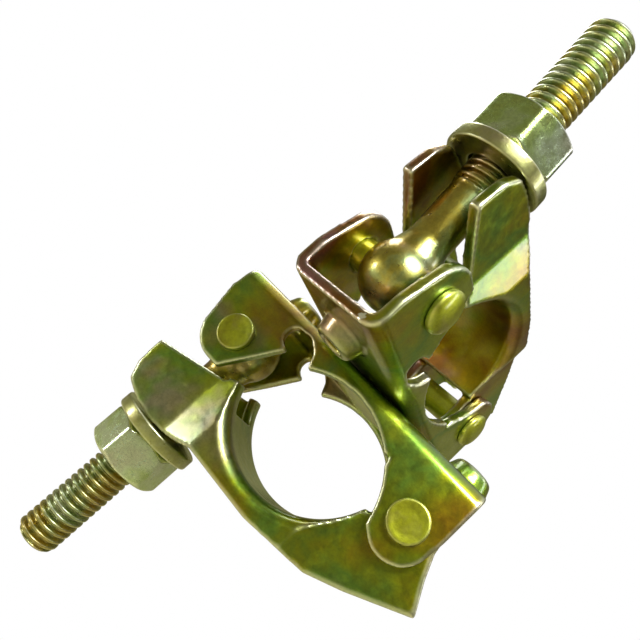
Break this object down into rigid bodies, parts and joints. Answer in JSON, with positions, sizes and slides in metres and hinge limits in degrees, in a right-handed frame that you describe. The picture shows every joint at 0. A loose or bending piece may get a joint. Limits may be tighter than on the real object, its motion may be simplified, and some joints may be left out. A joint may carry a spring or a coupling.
{
  "type": "swivel scaffold coupler",
  "caption": "Swivel scaffold coupler: back-to-back pressed clamps riveted together, each with a hinged cap, swinging eye bolt, washer and nut to grip a tube.",
  "frame": {"origin": "centre of the lower half's tube seat, on the axis of the tube it grips", "axes": "+Y along the lower tube, +Z from the lower tube towards the upper half along the swivel rivet, +X from the lower hinge rivet towards the lower bolt"},
  "size_m": [0.098, 0.1029, 0.1927],
  "materials": {
    "zinc_sheet": "yellow passivated zinc on pressed sheet, iridescent olive, gold and lilac",
    "zinc_rivet": "yellow passivated zinc, satin, greenish gold",
    "zinc_forged": "yellow passivated zinc on a forged bolt, semi gloss, thread rolled",
    "zinc_washer": "yellow passivated zinc, satin",
    "zinc_nut": "yellow passivated zinc, pale and bright on the flats"
  },
  "bodies": {
    "lower_saddle": {"lower_saddle": "zinc_sheet", "lower_bolt_rivet": "zinc_rivet", "lower_hinge_rivet": "zinc_rivet", "swivel_rivet": "zinc_rivet"},
    "upper_saddle": {"upper_saddle": "zinc_sheet", "upper_bolt_rivet": "zinc_rivet", "upper_hinge_rivet": "zinc_rivet"},
    "lower_cap": {"lower_cap": "zinc_sheet"},
    "lower_eye_bolt": {"lower_eye_bolt": "zinc_forged"},
    "lower_washer": {"lower_washer": "zinc_washer"},
    "lower_nut": {"lower_nut": "zinc_nut"},
    "upper_cap": {"upper_cap": "zinc_sheet"},
    "upper_eye_bolt": {"upper_eye_bolt": "zinc_forged"},
    "upper_washer": {"upper_washer": "zinc_washer"},
    "upper_nut": {"upper_nut": "zinc_nut"}
  },
  "joints": [
    {"name": "swivel", "type": "hinge", "parent": "lower_saddle", "child": "upper_saddle", "pos_m": [0, 0, 0.03], "axis": [0, 0, 1], "range_deg": [-32, 63]},
    {"name": "lower_bolt_swing", "type": "hinge", "parent": "lower_saddle", "child": "lower_eye_bolt", "pos_m": [0.036, 0, 0.012], "axis": [0, -1, 0], "range_deg": [-12, 95]},
    {"name": "lower_nut_turn", "type": "hinge", "parent": "lower_washer", "child": "lower_nut", "pos_m": [0.036, 0, -0.03], "axis": [0, 0, -1], "range_deg": [0, 4572]},
    {"name": "lower_washer_slide", "type": "slide", "parent": "lower_eye_bolt", "child": "lower_washer", "axis": [0, 0, -1], "range_m": [0, 0.0269]},
    {"name": "lower_cap_open", "type": "hinge", "parent": "lower_saddle", "child": "lower_cap", "pos_m": [-0.0305, 0, 0.012], "axis": [0, 1, 0], "range_deg": [0, 22.99]},
    {"name": "upper_bolt_swing", "type": "hinge", "parent": "upper_saddle", "child": "upper_eye_bolt", "pos_m": [0.00956, 0.03471, 0.048], "axis": [-0.9641, 0.2656, 0], "range_deg": [-23, 84]},
    {"name": "upper_nut_turn", "type": "hinge", "parent": "upper_washer", "child": "upper_nut", "pos_m": [0.01169, 0.04243, 0.08923], "axis": [0.0507, 0.184, 0.9816], "range_deg": [0, 4572]},
    {"name": "upper_washer_slide", "type": "slide", "parent": "upper_eye_bolt", "child": "upper_washer", "axis": [0.0507, 0.184, 0.9816], "range_m": [0, 0.0269]},
    {"name": "upper_cap_open", "type": "hinge", "parent": "upper_saddle", "child": "upper_cap", "pos_m": [-0.0081, -0.0294, 0.048], "axis": [0.9641, -0.2656, 0], "range_deg": [0, 22.99]}
  ],
  "couplings": [
    {"joint": "lower_washer_slide", "follows": "lower_nut_turn", "m_per_rad": 0.00033693},
    {"joint": "lower_cap_open", "follows": "lower_nut_turn", "ratio": 0.0050261},
    {"joint": "upper_washer_slide", "follows": "upper_nut_turn", "m_per_rad": 0.00033693},
    {"joint": "upper_cap_open", "follows": "upper_nut_turn", "ratio": 0.0050261}
  ]
}
